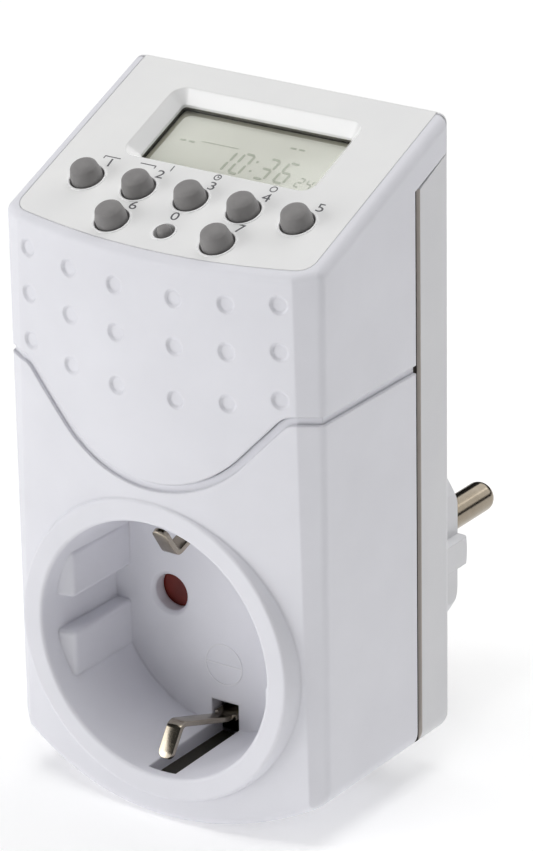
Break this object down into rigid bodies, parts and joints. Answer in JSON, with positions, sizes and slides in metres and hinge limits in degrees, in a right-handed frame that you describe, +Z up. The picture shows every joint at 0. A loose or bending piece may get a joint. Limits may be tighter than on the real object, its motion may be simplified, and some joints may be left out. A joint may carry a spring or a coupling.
{
  "type": "plug-in digital timer",
  "caption": "Plug-in digital timer: sloped panel with display and domed keys, recessed round socket with earth clips in front, round plug with two pins behind.",
  "frame": {"origin": "on the common axis of plug and socket, in the plane of the flat rear face that lies against the wall socket", "axes": "+X right seen from the front, +Y into the wall along the plug's pins, +Z up"},
  "size_m": [0.0534, 0.0732, 0.1005],
  "materials": {
    "housing": "fine matte",
    "plate": "fine matte",
    "clear": "clear",
    "display": "satin",
    "holder": "matte",
    "conductive_rubber": "matte",
    "mat_rubber": "matte",
    "key_rubber": "satin",
    "board": "satin",
    "resin": "gloss",
    "bright_metal": "bright",
    "screw_steel": "zinc plated",
    "cable": "satin",
    "carrier": "matte",
    "shutter_red": "satin",
    "spring_steel": "bright",
    "contact_brass": "satin",
    "nickel": "nickel plated, bright",
    "relay_case": "satin",
    "film_case": "gloss",
    "can": "sleeved",
    "varistor_coat": "satin",
    "component_black": "satin",
    "resistor_coat": "satin"
  },
  "bodies": {
    "timer_housing": {"backup_battery": "bright_metal", "battery_tabs": "bright_metal", "board_screws": "screw_steel", "carrier_screws": "screw_steel", "clock_crystal": "bright_metal", "contact_carrier": "carrier", "control_pcb": "board", "controller_chip": "resin", "dropper_resistor": "resistor_coat", "earth_bracket": "nickel", "earth_rivets": "nickel", "face_plate": "plate", "film_capacitor": "film_case", "housing_screws": "screw_steel", "keypad_mat": "mat_rubber", "lcd_frame": "holder", "lcd_glass": "display", "lcd_window": "clear", "live_contact": "contact_brass", "live_strip": "contact_brass", "lower_front_cover": "housing", "neutral_contact": "contact_brass", "neutral_strip": "contact_brass", "plug_earth_strips": "nickel", "plug_pin_left": "nickel", "plug_pin_right": "nickel", "power_board_screws": "screw_steel", "power_pcb": "board", "rear_housing": "housing", "rectifier_diodes": "component_black", "relay": "relay_case", "ribbon_cable": "cable", "shutter_spring": "spring_steel", "smoothing_capacitor": "can", "transistor": "component_black", "upper_front_cover": "housing", "varistor": "varistor_coat", "zebra_strips": "conductive_rubber"},
    "key_1_body": {"key_1": "key_rubber"},
    "key_2_body": {"key_2": "key_rubber"},
    "key_3_body": {"key_3": "key_rubber"},
    "key_4_body": {"key_4": "key_rubber"},
    "key_5_body": {"key_5": "key_rubber"},
    "key_6_body": {"key_6": "key_rubber"},
    "key_7_body": {"key_7": "key_rubber"},
    "reset_key_body": {"reset_key": "key_rubber"},
    "shutter_body": {"shutter": "shutter_red"}
  },
  "joints": [
    {"name": "key_1_press", "type": "slide", "parent": "timer_housing", "child": "key_1_body", "axis": [0, 0.3891, -0.9212], "range_m": [0, 0.001], "stiffness_N_per_m": 900, "springref_m": -0.0005},
    {"name": "key_2_press", "type": "slide", "parent": "timer_housing", "child": "key_2_body", "axis": [0, 0.3891, -0.9212], "range_m": [0, 0.001], "stiffness_N_per_m": 900, "springref_m": -0.0005},
    {"name": "key_3_press", "type": "slide", "parent": "timer_housing", "child": "key_3_body", "axis": [0, 0.3891, -0.9212], "range_m": [0, 0.001], "stiffness_N_per_m": 900, "springref_m": -0.0005},
    {"name": "key_4_press", "type": "slide", "parent": "timer_housing", "child": "key_4_body", "axis": [0, 0.3891, -0.9212], "range_m": [0, 0.001], "stiffness_N_per_m": 900, "springref_m": -0.0005},
    {"name": "key_5_press", "type": "slide", "parent": "timer_housing", "child": "key_5_body", "axis": [0, 0.3891, -0.9212], "range_m": [0, 0.001], "stiffness_N_per_m": 900, "springref_m": -0.0005},
    {"name": "key_6_press", "type": "slide", "parent": "timer_housing", "child": "key_6_body", "axis": [0, 0.3891, -0.9212], "range_m": [0, 0.001], "stiffness_N_per_m": 900, "springref_m": -0.0005},
    {"name": "key_7_press", "type": "slide", "parent": "timer_housing", "child": "key_7_body", "axis": [0, 0.3891, -0.9212], "range_m": [0, 0.001], "stiffness_N_per_m": 900, "springref_m": -0.0005},
    {"name": "reset_key_press", "type": "slide", "parent": "timer_housing", "child": "reset_key_body", "axis": [0, 0.3891, -0.9212], "range_m": [0, 0.001], "stiffness_N_per_m": 900, "springref_m": -0.0005},
    {"name": "shutter_turn", "type": "hinge", "parent": "timer_housing", "child": "shutter_body", "pos_m": [0, -0.0157, 0], "axis": [0, 1, 0], "range_deg": [0, 38], "stiffness_Nm_per_rad": 0.002, "springref_deg": -11.46, "deforming": ["shutter_spring"]}
  ]
}
